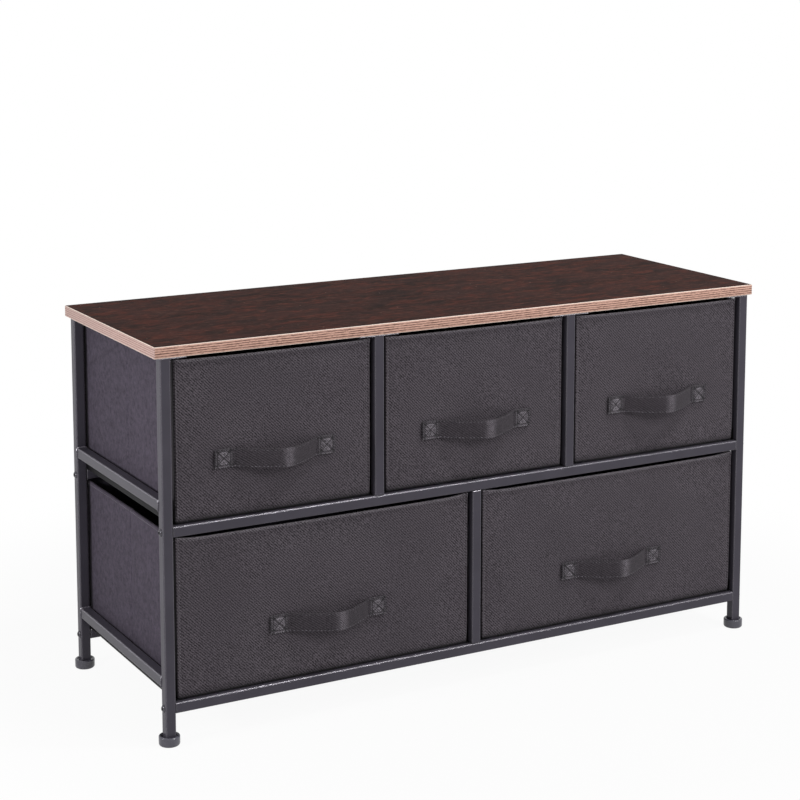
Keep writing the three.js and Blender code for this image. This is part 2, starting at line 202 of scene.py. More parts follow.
middle_of_dresser = (cad_low + cad_high) / 2
area_lamp("side_lamp", (-1.3, -0.16, 0.6), (-0.5, -0.06, 0.27), 0.14, 4.8)
area_lamp("front_lamp", (1.5, -3.0, 2.5), middle_of_dresser, 1.7, 66)
area_lamp("arris_lamp", (1.0, -0.95, 2.9), middle_of_dresser, 0.3, 30)

# %% Floor
floor_width = 14.0
near_white_share = 0.94
fade_start = 0.6
fade_end = 1.1
floor_form = bmesh.new()
bmesh.ops.create_grid(floor_form, x_segments=1, y_segments=1, size=floor_width / 2)
floor_mesh = bpy.data.meshes.new("floor")
floor_form.to_mesh(floor_mesh)
floor_form.free()
floor = bpy.data.objects.new("floor", floor_mesh)
scene.collection.objects.link(floor)

floor_finish, tree, place = start_material("studio_floor")
tree.nodes.remove(tree.nodes["Principled BSDF"])
matt = add_node(tree, "BsdfDiffuse", {"Color": "#cfcfcf"})
plain_white = add_node(tree, "Emission", {"Color": "#ffffff", "Strength": 1.0})
distance = add_node(tree, "VectorMath", {0: place}, operation="LENGTH")
fade = add_node(tree, "MapRange",
                {"Value": distance, "From Min": fade_start, "From Max": fade_end,
                 "To Min": near_white_share, "To Max": 1.0}, interpolation_type="SMOOTHSTEP")
share = add_node(tree, "Math", {0: seen_share(tree), 1: fade}, operation="MULTIPLY")
add_node(tree, "MixShader", {0: share, 1: matt, 2: plain_white},
         into=tree.nodes["Material Output"].inputs["Surface"])
floor_mesh.materials.append(floor_finish)

# %% [markdown]
# ## The wood-look laminate
#
# The board is particle board under a printed melamine film: a dark, reddish-brown rustic print
# with long streaks along the board, cloudy darker and redder patches, and a few pale flecks. The
# film is almost matt. Each layer of the print is a noise stretched along X to the size of the
# real mark, and each is mixed over the last, as the inks were.


# %% Laminate
def stretched_noise(tree, place, along, across, **settings):
    """A noise whose marks are a given length along the board and a given width across it."""
    scaled = add_node(tree, "VectorMath", {0: place, 1: (1 / along, 1 / across, 1 / across)},
                      operation="MULTIPLY")
    return add_node(tree, "TexNoise", {"Vector": scaled, "Scale": 1.0, **settings})


def ink(tree, under, marks, low, high, strength, hex_colour, into=None):
    """Mixes a colour over another where a pattern lies between two values or beyond the second."""
    share = add_node(tree, "MapRange",
                     {"Value": marks, "From Min": low, "From Max": high, "To Max": strength})
    return add_node(tree, "Mix", {FACTOR: share, FIRST: under, SECOND: hex_colour}, into, data_type="RGBA")


laminate, tree, place = start_material("melamine_rustic_walnut_print",
                                       {"Roughness": 0.55, "Specular IOR Level": 0.009})
clouds = stretched_noise(tree, place, 120 * MM, 46 * MM, Detail=4.0, Roughness=0.62, Distortion=0.6)
blush = stretched_noise(tree, place, 46 * MM, 20 * MM, Detail=4.0, Roughness=0.7, Distortion=0.8)
streaks = stretched_noise(tree, place, 60 * MM, 5 * MM, Detail=4.0, Roughness=0.66, Distortion=1.1)
grain = stretched_noise(tree, place, 15 * MM, 1.9 * MM, Detail=3.0, Roughness=0.6, Distortion=0.4)
flecks = add_node(tree, "TexVoronoi", {"Vector": place, "Scale": 1 / (30 * MM)}, feature="F1")
print_colour = "#1b110f"
for layer in ((clouds, 0.36, 0.64, 1.0, "#34201d"), (blush, 0.48, 0.64, 0.75, "#50271e"),
              (streaks, 0.52, 0.7, 0.6, "#5a3429"), (grain, 0.52, 0.68, 0.8, "#170f0f"),
              (grain, 0.42, 0.3, 0.5, "#745246")):
    print_colour = ink(tree, print_colour, *layer)
ink(tree, print_colour, flecks, 0.045, 0.02, 0.6, "#a88d80", "Base Color")
add_node(tree, "Bump", {"Height": grain, "Strength": 0.35, "Distance": 0.08 * MM}, "Normal")

# %% [markdown]
# ## The edge band
#
# The board's edges are closed by a strip of paler printed plastic, glued on and trimmed: pinkish
# tan with thin dark grain lines that run along the edge, each a little wavy and broken here and
# there. A wave texture stacked along Z draws the lines, and its own distortion makes them wander.
# The trimmed arris shows the bare cream plastic, which draws the bright line round the top.

# %% Edge band, its trimmed arris and the paper under the board
# A Wave texture along one axis repeats every 2 pi / (20 * scale)
WAVE_PER_UNIT = 2 * math.pi / 20
line_wander_length = 15 * MM


def edge_band(name, line, ground, line_spacing, wander):
    """Printed edge band: dark lines a given distance apart, which wander by a given amount."""
    band, tree, place = start_material(name, {"Roughness": 0.5, "Specular IOR Level": 0.25})
    per_metre = (1 / line_wander_length, 1 / line_wander_length, 1 / line_spacing)
    line_place = add_node(tree, "VectorMath", {0: place, 1: per_metre}, operation="MULTIPLY")
    lines = add_node(tree, "TexWave",
                     {"Vector": line_place, "Scale": WAVE_PER_UNIT, "Distortion": wander, "Detail": 3.0,
                      "Detail Scale": 0.45, "Detail Roughness": 0.6},
                     wave_type="BANDS", bands_direction="Z", wave_profile="SIN").outputs["Fac"]
    breaks = stretched_noise(tree, place, 9 * MM, 2.2 * MM, Detail=2.0, Roughness=0.6)
    specks = stretched_noise(tree, place, 2.6 * MM, 1.1 * MM, Detail=2.0, Roughness=0.6)
    thin = add_node(tree, "MapRange", {"Value": lines, "From Min": 0.52, "From Max": 0.1})
    kept = add_node(tree, "MapRange", {"Value": breaks, "From Min": 0.3, "From Max": 0.55, "To Min": 0.25})
    line_share = add_node(tree, "Math", {0: thin, 1: kept}, operation="MULTIPLY")
    lined = add_node(tree, "Mix", {FACTOR: line_share, FIRST: ground, SECOND: line}, data_type="RGBA")
    ink(tree, lined, specks, 0.5, 0.7, 0.55, line, "Base Color")
    add_node(tree, "Bump", {"Height": lines, "Strength": 0.3, "Distance": 0.1 * MM}, "Normal")
    return band


def mottled_finish(name, mark_size, detail, dark, light, finish, relief=0.0):
    """A finish whose colour drifts between two, in marks of a given size that may stand in relief."""
    material, tree, place = start_material(name, finish)
    marks = add_node(tree, "TexNoise", {"Vector": place, "Scale": 1 / mark_size, "Detail": detail})
    add_node(tree, "Mix", {FACTOR: marks, FIRST: dark, SECOND: light}, "Base Color", data_type="RGBA")
    if relief:
        add_node(tree, "Bump", {"Height": marks, "Strength": relief, "Distance": 0.2 * MM}, "Normal")
    return material


long_edge_print = edge_band("abs_edge_band_wood_print", "#54362d", "#d1a695", 3.1 * MM, 3.0)
end_edge_print = edge_band("abs_edge_band_wood_print_end", "#8a6a62", "#c4a69e", 2.9 * MM, 2.0)
trimmed_edge = mottled_finish("abs_trimmed_bare", 3 * MM, 2.0, "#dcc3b4", "#f6e6da", {"Roughness": 0.4})
under_paper = mottled_finish("backing_paper", 5 * MM, 4.0, "#33231f", "#48322b", {"Roughness": 0.7})

# %% [markdown]
# ## Painted steel, black screws and moulded feet
#
# Powder coat is sprayed on dry and baked, so it flows into a slightly uneven skin, like the peel
# of an orange, with a satin gloss. Its arrises are painted lighter and half metallic: partly wear
# from handling, and partly a painted highlight that is strongest where they face up. A Bevel node
# rounds the arrises for the light, and where its normal differs from the facet's own, there is an
# arris. The runners are painted near black, as painted shade for the dark band under the side
# rails. The screws are blackened steel, and the feet are polished mouldings, which is why they
# catch small bright glints.


# %% Powder coat on the tubes, and a near-black one on the runners as painted shade
drift_length = 45 * MM
peel_width = 1.5 * MM
arris_radius = 1.5 * MM


def powder_coat(name, dark, light, roughness, arris_wear_and_highlight):
    """Baked powder: a colour that varies slightly, and a peel about a millimetre and a half across."""
    coat, tree, place = start_material(name, {"Roughness": roughness, "Specular IOR Level": 0.14})
    drift = add_node(tree, "TexNoise", {"Vector": place, "Scale": 1 / drift_length, "Detail": 3.0})
    colour = add_node(tree, "Mix", {FACTOR: drift, FIRST: dark, SECOND: light}, data_type="RGBA")
    peel = add_node(tree, "TexNoise", {"Vector": place, "Scale": 1 / peel_width, "Detail": 1.0})
    rounded = add_node(tree, "Bevel", {"Radius": arris_radius}, samples=4)
    facet = add_node(tree, "NewGeometry").outputs["True Normal"]
    alike = add_node(tree, "VectorMath", {0: rounded, 1: facet}, operation="DOT_PRODUCT")
    facing_up = add_node(tree, "SeparateXYZ", {"Vector": rounded}).outputs["Z"]
    # The arrises are painted lighter and half metallic: partly wear, and partly a painted highlight,
    # strongest where they face up
    arris = add_node(tree, "MapRange", {"Value": alike, "From Min": 0.995, "From Max": 0.93})
    facing_up_highlight = add_node(tree, "MapRange", {"Value": facing_up, "From Min": -0.1, "From Max": 0.6,
                                          "To Min": 0.12 * arris_wear_and_highlight, "To Max": arris_wear_and_highlight})
    worn_and_highlighted = add_node(tree, "Math", {0: arris, 1: facing_up_highlight}, "Metallic", operation="MULTIPLY")
    add_node(tree, "Mix", {FACTOR: worn_and_highlighted, FIRST: colour, SECOND: "#dcd8e0"}, "Base Color", data_type="RGBA")
    add_node(tree, "Bump", {"Height": peel, "Strength": 0.25, "Distance": 0.06 * MM, "Normal": rounded},
             "Normal")
    return coat


tube_coat = powder_coat("powder_coated_tube", "#3d3a42", "#4a4750", 0.3, 1.0)
# The runners are near black: painted shade for the dark band under the side rails
runner_coat_painted_shade = powder_coat("powder_coated_sheet", "#0b0a0c", "#121114", 0.6, 0.0)

# %% Blackened screws and moulded feet
blackened = mottled_finish("black_oxide_steel", 2 * MM, 2.0, "#2b2a2e", "#6a686e",
                           {"Metallic": 0.85, "Roughness": 0.24})
foot_plastic = mottled_finish("polypropylene_polished_moulding", 9 * MM, 2.0, "#403f49", "#57555f",
                              {"Roughness": 0.16}, relief=0.15)

# %% [markdown]
# ## Cloth
#
# The drawer fronts and the straps are a coarse twill: its ribs run down to the right at 45
# degrees. A real rib is about a millimetre and a half wide, finer than a pixel of the picture, so
# it is drawn here a little over twice as wide to show. Where fibres lie differently the cloth
# looks lighter or darker, so a noise as large as a slub and another as large as a hand move the
# colour. Two attributes of the mesh carry painted light: a painted highlight on crests and edges,
# and painted shade, near black, along seams and lower edges. The other walls and the linings are
# spunbond, a felt of plastic fibres that hot pins bond in a grid of small dots.

# %% Twill
twill_rib = 3.1 * MM
strap_rib = twill_rib * 0.8
tape_rib = 1.6 * MM
slub_length = 1.6 * MM
hand_length = 90 * MM


def twill_cloth(name, dark, light, rib, highlight_colour="#342f35"):
    """A twill with ribs a given distance apart: its colours in the hollows, on the ribs and in its painted
    highlights.
    """
    cloth, tree, place = start_material(name, {"Roughness": 0.88, "Specular IOR Level": 0.22,
                                               "Sheen Weight": 0.06})
    # A diagonal Wave texture repeats every 2 pi / (10 * scale) along x + y + z
    ribs = add_node(tree, "TexWave",
                    {"Vector": place, "Scale": 2 * math.pi / (10 * math.sqrt(2) * rib), "Distortion": 1.1,
                     "Detail": 2.0, "Detail Scale": 2.6, "Detail Roughness": 0.6},
                    wave_type="BANDS", bands_direction="DIAGONAL", wave_profile="SIN")
    slubs = add_node(tree, "TexNoise",
                     {"Vector": place, "Scale": 1 / slub_length, "Detail": 1.0, "Roughness": 0.6})
    slub_share = add_node(tree, "MapRange", {"Value": slubs, "From Min": 0.41, "From Max": 0.6})
    lit = add_node(tree, "Math", {0: ribs.outputs["Fac"], 1: 0.6}, operation="MULTIPLY")
    thread = add_node(tree, "Math", {0: slub_share, 1: 0.5, 2: lit}, operation="MULTIPLY_ADD")
    weave = add_node(tree, "Mix", {FACTOR: thread, FIRST: dark, SECOND: light}, data_type="RGBA")
    fade = add_node(tree, "TexNoise", {"Vector": place, "Scale": 1 / hand_length, "Detail": 2.0})
    faded = ink(tree, weave, fade, 0.35, 0.7, 0.25, "#342f35")
    # A painted highlight where one attribute of the mesh is set, and painted shade, near black, where the
    # other is
    painted_highlight = add_node(tree, "Attribute", attribute_name="painted_highlight")
    highlight_share = add_node(tree, "Math", {0: painted_highlight.outputs["Fac"], 1: thread}, operation="MULTIPLY")
    highlighted_cloth = add_node(tree, "Mix", {FACTOR: highlight_share, FIRST: faded, SECOND: highlight_colour},
                            data_type="RGBA")
    painted_shade = add_node(tree, "Attribute", attribute_name="painted_shade")
    add_node(tree, "Mix", {FACTOR: painted_shade.outputs["Fac"], FIRST: highlighted_cloth, SECOND: "#070608"},
             "Base Color", data_type="RGBA")
    add_node(tree, "Bump", {"Height": thread, "Strength": 0.6, "Distance": 0.5 * MM}, "Normal")
    return cloth


front_twill = twill_cloth("polyester_twill", "#0f0d10", "#605960", twill_rib, "#aaa3ab")
# The strap's bow is a darker copy of the front's twill, painted shade for the lower light on it
strap_twill_shaded = twill_cloth("polyester_twill_strap", "#171518", "#474147", strap_rib, "#746e75")
# The sewn ends are a lighter copy of the strap's twill, painted lighter for the light they catch
strap_end_twill_lit = twill_cloth("polyester_twill_strap_end", "#161417", "#686269", strap_rib, "#c9c2cb")
# Black tape at the drawers' corners: painted shade for the dark gaps beside the legs
corner_tape_painted_shade = twill_cloth("black_tape_painted_shade", "#0f0d10", "#2b272c", tape_rib)


# %% Spunbond
pin_spacing = 2.4 * MM
blotch_size = 6 * MM


def spunbond_cloth(name, dark, light):
    """Bonded felt: soft blotches and a grid of small pressed dots."""
    cloth, tree, place = start_material(name, {"Roughness": 0.9, "Specular IOR Level": 0.2})
    blotch = add_node(tree, "TexNoise",
                      {"Vector": place, "Scale": 1 / blotch_size, "Detail": 5.0, "Roughness": 0.75})
    ink(tree, dark, blotch, 0.32, 0.7, 1.0, light, "Base Color")
    pins = add_node(tree, "TexVoronoi", {"Vector": place, "Scale": 1 / pin_spacing, "Randomness": 0.25},
                    feature="F1")
    pressed = add_node(tree, "MapRange", {"Value": pins, "From Min": 0.15, "From Max": 0.4})
    add_node(tree, "Bump", {"Height": pressed, "Strength": 0.3, "Distance": 0.2 * MM}, "Normal")
    return cloth


wall_felt = spunbond_cloth("polypropylene_spunbond", "#37323b", "#554e5b")
lining_felt = spunbond_cloth("polypropylene_spunbond_lining", "#2f2c33", "#3e3a43")


# %% Sewing thread
def sewing_thread(name, hex_colour):
    """Twisted polyester: the twist shows as a fine slanted line along each stitch."""
    thread, tree, place = start_material(name, {"Roughness": 0.55})
    twist = add_node(tree, "TexWave", {"Vector": place, "Scale": 1 / (10 * 0.4 * MM)},
                     wave_type="BANDS", bands_direction="DIAGONAL").outputs["Fac"]
    add_node(tree, "Bump", {"Height": twist, "Strength": 0.5, "Distance": 0.1 * MM}, "Normal")
    add_node(tree, "Mix", {FACTOR: twist, FIRST: "#1a181c", SECOND: hex_colour}, "Base Color",
             data_type="RGBA")
    return thread


pale_thread = sewing_thread("polyester_thread_grey", "#8d878f")
strap_thread = sewing_thread("polyester_thread_strap", "#77727a")
dark_thread = sewing_thread("polyester_thread_black", "#0d0c0f")

# %% [markdown]
# ## Making pieces
#
# Every piece is modelled with bmesh operators in the place where it belongs, so its object can
# stay at the origin. A few small functions do what repeats: one starts a box, one turns a bmesh
# into a piece that rides on a body of the frame, and two draw a round profile and spin it.

# %% Piece helpers
# A face looks along an axis where more than this much of its normal points that way
LOOKS_ALONG = 0.5


def box_form(size, middle):
    """A new bmesh with a box of a given size round a middle."""
    form = bmesh.new()
    bmesh.ops.create_cube(form, size=1.0)
    bmesh.ops.scale(form, vec=size, verts=form.verts)
    bmesh.ops.translate(form, vec=middle, verts=form.verts)
    return form


def make_piece(name, form, body, materials, replaces=(), sharp_degrees=40):
    """Turns a finished bmesh into a shown piece that moves with a body of the frame."""
    mesh = bpy.data.meshes.new(name)
    form.to_mesh(mesh)
    form.free()
    for material in materials:
        mesh.materials.append(material)
    mesh.polygons.foreach_set("use_smooth", [True] * len(mesh.polygons))
    mesh.set_sharp_from_angle(angle=math.radians(sharp_degrees))
    piece = bpy.data.objects.new(name, mesh)
    scene.collection.objects.link(piece)
    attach(piece, body)
    if replaces:
        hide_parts(*replaces)
    return piece


def arc(centre_out, centre_up, radius, start_degrees, end_degrees, steps=6):
    """Points of a round stretch of a profile, as distances out from the axis and up along it."""
    turns = [math.radians(start_degrees + (end_degrees - start_degrees) * step / steps)
             for step in range(steps + 1)]
    return [(centre_out + radius * math.cos(turn), centre_up + radius * math.sin(turn)) for turn in turns]


def spin_profile(form, profile, steps):
    """Spins a profile round the Z axis."""
    corners = [form.verts.new((out, 0, up)) for out, up in profile]
    edges = [form.edges.new(pair) for pair in zip(corners, corners[1:])]
    bmesh.ops.spin(form, geom=corners + edges, cent=(0, 0, 0), axis=(0, 0, 1), angle=2 * math.pi,
                   steps=steps, use_merge=True)
    bmesh.ops.remove_doubles(form, verts=form.verts[:], dist=0.001 * MM)
    bmesh.ops.recalc_face_normals(form, faces=form.faces)


# %% [markdown]
# ## The board
#
# On the bench the board is a core with laminate on its upper face and paper under it, and an edge
# band glued round it. The core starts as a cube. The band starts as one flat face whose corners are
# bevelled round; insetting that face leaves a ring as wide as the band is thick, and extruding the
# ring gives the band its height. Bevelling its outer edges is the trimming.

# %% Board core and edge band
band_thickness = 1.0 * MM
band_trim = 0.9 * MM
band_corner = 1.6 * MM
board_low, board_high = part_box("top_board")
board_size = board_high - board_low
board_middle = (board_low + board_high) / 2
# The order of the materials on the core and on the band
LAMINATE, PAPER = range(2)
LONG_SIDE, TRIMMED, SHORT_END = range(3)

core_form = box_form(board_size - Vector((2, 2, 0)) * band_thickness, board_middle)
for face in core_form.faces:
    face.material_index = LAMINATE if face.normal.z > LOOKS_ALONG else PAPER
make_piece("board_core", core_form, "frame", [laminate, under_paper], replaces=["top_board"])

band_form = bmesh.new()
bmesh.ops.create_grid(band_form, x_segments=1, y_segments=1, size=0.5)
bmesh.ops.scale(band_form, vec=(board_size.x, board_size.y, 1), verts=band_form.verts)
bmesh.ops.translate(band_form, vec=(board_middle.x, board_middle.y, board_low.z), verts=band_form.verts)
bmesh.ops.bevel(band_form, geom=band_form.verts[:], offset=band_corner, segments=4, profile=0.5,
                affect="VERTICES", material=-1)
# The face has no neighbours, so its own boundary has to be insettable
ring_faces = bmesh.ops.inset_region(band_form, faces=band_form.faces[:], thickness=band_thickness,
                                    use_boundary=True, use_even_offset=True)["faces"]
inner_faces = [face for face in band_form.faces if face not in ring_faces]
bmesh.ops.delete(band_form, geom=inner_faces, context="FACES")
ring = bmesh.ops.extrude_face_region(band_form, geom=band_form.faces[:])
ring_verts = [part for part in ring["geom"] if isinstance(part, bmesh.types.BMVert)]
bmesh.ops.translate(band_form, vec=(0, 0, board_size.z), verts=ring_verts)
bmesh.ops.recalc_face_normals(band_form, faces=band_form.faces[:])
reach = board_size / 2 - Vector((1, 1, 0)) * (band_thickness / 2)


def on_outer_rim(edge):
    """True for an edge between the band's outer face and its top or bottom."""
    across = sorted(abs(round(face.normal.z)) for face in edge.link_faces) == [0, 1]
    middle = (edge.verts[0].co + edge.verts[1].co) / 2 - board_middle
    return across and (abs(middle.x) > reach.x or abs(middle.y) > reach.y)


for face in band_form.faces:
    face.material_index = SHORT_END if abs(face.normal.x) > LOOKS_ALONG else LONG_SIDE
rims = [edge for edge in band_form.edges if on_outer_rim(edge)]
bmesh.ops.bevel(band_form, geom=rims, offset=band_trim, segments=2, profile=0.5, affect="EDGES",
                material=TRIMMED)
make_piece("board_edge_band", band_form, "frame", [long_edge_print, trimmed_edge, end_edge_print],
           sharp_degrees=30)
print("Board:", len(rims), "rim edges trimmed")

# %% [markdown]
# ## A coat for the frame
#
# The tubes, posts and runners keep the meshes of the model. Their only job here is to take the
# right coat, which goes into the slots of their objects.

# %% Coat the model's own pieces
for name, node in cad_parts.items():
    steel = "rail" in name or "leg" in name or "post" in name
    for place_for_coat in node.material_slots:
        if name.startswith("runner"):
            place_for_coat.material = runner_coat_painted_shade
        elif steel and "screw" not in name:
            place_for_coat.material = tube_coat
        else:
            place_for_coat.material = blackened

# %% [markdown]
# ## Welds
#
# The side rails are welded between the legs. A bead of metal runs round each joint: a curve with a
# round section that follows the tube's outline, and swells and narrows as the welder moved.

# %% Weld beads
bead_radius = 1.5 * MM
bead_steps = 48
bead_swell = 0.28
bead_swell_length = 2.2 * MM
tube_corner = 2.4 * MM


def tube_outline(half, corner, share):
    """A place on the outline of a square tube, at a share of the way round it."""
    turn = 2 * math.pi * share
    reach = max(abs(math.cos(turn)), abs(math.sin(turn)))
    across, up = half * math.cos(turn) / reach, half * math.sin(turn) / reach
    limit = half - corner
    beyond = Vector((max(0, abs(across) - limit), max(0, abs(up) - limit)))
    if min(beyond) > 0:
        beyond *= corner / beyond.length
    return (math.copysign(min(abs(across), limit) + beyond.x, across),
            math.copysign(min(abs(up), limit) + beyond.y, up))


def weld_bead(name, middle, half, seed):
    """A bead round a square tube that runs along Y and ends at the given middle."""
    curve = bpy.data.curves.new(name, "CURVE")
    curve.dimensions = "3D"
    curve.bevel_depth = bead_radius
    curve.bevel_resolution = 2
    spline = curve.splines.new("POLY")
    spline.points.add(bead_steps - 1)
    spline.use_cyclic_u = True
    for number, point in enumerate(spline.points):
        across, up = tube_outline(half, tube_corner, number / bead_steps)
        point.co = (middle.x + across, middle.y, middle.z + up, 1)
        point.radius = 1 + bead_swell * noise.noise(Vector((across, up, 0)) / bead_swell_length + seed)
    curve.materials.append(tube_coat)
    bead = bpy.data.objects.new(name, curve)
    scene.collection.objects.link(bead)
    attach(bead, "frame")


side_rails = [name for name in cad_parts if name.startswith("side_rail")]
for number, name in enumerate(sorted(side_rails)):
    low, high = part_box(name)
    middle = (low + high) / 2
    half = (high.z - low.z) / 2
    for end, y in (("front", low.y), ("back", high.y)):
        seed = Vector((number, y, 1.3)) * 4
        weld_bead(f"weld_{name}_{end}", Vector((middle.x, y, middle.z)), half, seed)
print("Welds:", 2 * len(side_rails))

# %% [markdown]
# ## Feet
#
# Each leg stands in a round moulded foot: a thick rounded rim round a dish, and a threaded stem
# up into the leg. All of it is one profile, spun.

# %% Feet
foot_edge = 3.2 * MM
foot_rim = 1.9 * MM
foot_dish_depth = 2.5 * MM
foot_sole_hollow = 0.8 * MM
foot_hollow_share = 0.45
foot_sole_share = 0.52
foot_spin_steps = 48
leg_clearance = 0.3 * MM
dish_bevel_height = 0.3 * MM
dish_bevel_start = 0.6 * MM
dish_bevel_end = 1.4 * MM
stem_radius = 4 * MM

for row in ("front", "back"):
    for side in ("left", "right"):
        node = f"foot_{row}_{side}"
        low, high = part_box(node)
        radius = (high.x - low.x) / 2
        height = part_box(f"leg_{row}_{side}")[0].z + foot_dish_depth - leg_clearance
        dish = height - foot_dish_depth
        profile = [
            (0, foot_sole_hollow),
            (radius * foot_hollow_share, foot_sole_hollow),
            (radius * foot_sole_share, 0),
            *arc(radius - foot_edge, foot_edge, foot_edge, -90, 0),
            *arc(radius - foot_rim, height - foot_rim, foot_rim, 0, 180, 10),
            (radius - 2 * foot_rim - dish_bevel_start, dish + dish_bevel_height),
            (radius - 2 * foot_rim - dish_bevel_end, dish),
            (stem_radius, dish),
            (stem_radius, high.z),
            (0, high.z),
        ]
        foot_form = bmesh.new()
        spin_profile(foot_form, profile, foot_spin_steps)
        middle = (low + high) / 2
        bmesh.ops.translate(foot_form, vec=(middle.x, middle.y, low.z), verts=foot_form.verts)
        make_piece(f"{node}_moulding", foot_form, node, [foot_plastic], replaces=[node])
        print(node, "is", round(2 * radius / MM), "mm across")

# %% [markdown]
# ## Screws
#
# Button-head screws hold the frame together: a low dome with a hexagon socket. The dome is spun,
# the socket is a six-sided circle pushed down, and bridging its rim to the dome's opening makes
# the face between a hexagon and a circle. The head is drawn pointing up and then turned to where
# the node of the model has its head.


# %% Screw
opening_share = 0.55
opening_height_share = 0.86
crown_start_degrees = 5
crown_end_degrees = 57
crown_steps = 6
socket_height_share = 0.8
socket_depth_share = 0.6
tip_share = 0.8
tip_bevel = 0.6 * MM
screw_spin_steps = 28


def button_screw(name, node, sizes, outward):
    """A socket screw in the place of a node, with its head on the side that outward points to."""
    head_radius, head_height, socket_radius, shank_radius = sizes
    low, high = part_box(node)
    length = max(high - low) - head_height
    form = bmesh.new()
    crown_degrees = crown_end_degrees - crown_start_degrees
    turns = [math.radians(crown_start_degrees + step * crown_degrees / crown_steps)
             for step in range(crown_steps + 1)]
    profile = [
        (0, -length),
        (shank_radius * tip_share, -length),
        (shank_radius, -length + tip_bevel),
        (shank_radius, 0),
        (head_radius, 0),
        *[(head_radius * math.cos(turn), head_height * math.sin(turn)) for turn in turns],
        (head_radius * opening_share, head_height * opening_height_share),
    ]
    spin_profile(form, profile, screw_spin_steps)
    open_rim = [edge for edge in form.edges if len(edge.link_faces) == 1]
    hexagon = bmesh.ops.create_circle(form, segments=6, radius=socket_radius, cap_ends=False,
                                      matrix=Matrix.Translation((0, 0, head_height * socket_height_share)))
    hexagon_edges = list({edge for vert in hexagon["verts"] for edge in vert.link_edges})
    bmesh.ops.bridge_loops(form, edges=open_rim + hexagon_edges)
    walls = bmesh.ops.extrude_edge_only(form, edges=hexagon_edges)
    deep = [part for part in walls["geom"] if isinstance(part, bmesh.types.BMVert)]
    bmesh.ops.translate(form, vec=(0, 0, -head_height * socket_depth_share), verts=deep)
    bmesh.ops.contextual_create(form, geom=deep)
    bmesh.ops.recalc_face_normals(form, faces=form.faces)
    turn = Vector(outward).to_track_quat("Z", "Y").to_matrix()
    middle = (low + high) / 2
    tip = Vector([high[axis] if outward[axis] > 0 else low[axis] for axis in range(3)])
    seat = Vector([tip[axis] - outward[axis] * head_height if outward[axis] else middle[axis]
                   for axis in range(3)])
    bmesh.ops.rotate(form, cent=(0, 0, 0), matrix=turn, verts=form.verts)
    bmesh.ops.translate(form, vec=seat, verts=form.verts)
    make_piece(name, form, "frame", [blackened], replaces=[node], sharp_degrees=35)
    print(node, "is", round(length / MM), "mm long under its head")


# Radius and height of the head, then the radii of its socket and of the shank
rail_screw_sizes = (5.3 * MM, 3.1 * MM, 2.3 * MM, 3 * MM)
post_screw_sizes = (4 * MM, 1.2 * MM, 1.5 * MM, 2 * MM)

for row in ("front", "back"):
    for side, outward_x in (("left", -1), ("right", 1)):
        for level in ("middle", "bottom"):
            node = f"rail_screw_{level}_{row}_{side}"
            button_screw(f"{node}_button_head", node, rail_screw_sizes, (outward_x, 0, 0))
        node = f"upper_post_screw_{row}_{side}"
        button_screw(f"{node}_low_head", node, post_screw_sizes, (0, 0, -1))
    node = f"lower_post_screw_{row}"
    button_screw(f"{node}_low_head", node, post_screw_sizes, (0, 0, 1))

# %% [markdown]
# ## Fabric drawers
#
# A drawer is a box of cloth over card: stiff enough to stand, soft enough that no wall is quite
# flat. It starts as a cube without a lid, with its upright and lower edges bevelled round. Cutting
# it with parallel planes gives every wall a grid, with closer lines where a seam will run, and each
# point of the grid is then moved a little out or in, as the cloth lies. The panels are sewn
# together at the upright corners, which leaves a raised welt with a groove beside it; beside the
# corners, at the back and near the front, the cloth is a black tape, painted shade for the dark
# gaps beside the legs. The side walls are drawn in at a fold half way back, and the middle of a
# front's rim hangs a little lower than its ends. The rim has a painted highlight, and the lower
# edges are painted dark as shade. Solidify gives the walls their thickness, and a subdivision
# surface rounds the rim.

# %% How the cloth lies
wall_thickness = 4 * MM
front_thickness = 6 * MM
corner_radius = 3.5 * MM
cell = 12 * MM
cut_tolerance = 0.05 * MM
# Long swells with shorter ripples in them, and the padding that rounds the front
swell_height, swell_length = 0.8 * MM, 105 * MM
ripple_height, ripple_length = 0.3 * MM, 34 * MM
front_padding = 1.1 * MM
# The fold in the side walls
fold_depth = 1.8 * MM
fold_half_width = 2.5 * MM
fold_lean = 1.6 * MM
# The rim with its hem
hem_height = 7 * MM
hem_proud = 0.6 * MM
hem_tolerance = 0.1 * MM
hem_groove_share = 0.5
rim_cut = 0.9 * MM
rim_sag = 0.8 * MM
back_rise = 1.6 * MM
stiff_corner_rise, corner_reach = 2.4 * MM, 40 * MM
front_drop, drop_reach = 1.8 * MM, 18 * MM
# The floor, which is stiff over the runners and sags between them
loaded_floor_sag, floor_sag_reach = 1.2 * MM, 20 * MM
runner_reach = 16 * MM
# The walls move less and less below this height over the floor, which holds them
stiff_height = 25 * MM
# How far a side wall leans in
right_slack = 0.8 * MM
left_slack, slack_reach = 3.0 * MM, 60 * MM
# A painted highlight along the rim, and painted shade along the lower edges
rim_highlight_width = 1.2 * MM
shaded_edge, edge_shade = 4.5 * MM, 1.6
# How far back from the front the black tape of painted shade reaches
shade_tape_width = 14 * MM
# The upright seams
welt_height = 1.7 * MM
bound_welt_height = 2.8 * MM
groove_depth, groove_width = 0.8 * MM, 2.2 * MM
seam_inset = corner_radius + groove_width
# The most of a normal that lies level on the floor, and the least of it that points a wall's way on
# the flat of a wall, on a face of the front, and in a rounded corner
floor_share, wall_share, front_share, corner_share = 0.2, 0.9, 0.6, 0.35


def cloth_swell(point, seed):
    """How far the cloth stands off its card at a point: long swells with shorter ripples in them."""
    swell = noise.noise(point / swell_length + seed)
    ripple = noise.noise(point / ripple_length - seed)
    return swell_height * swell + ripple_height * ripple


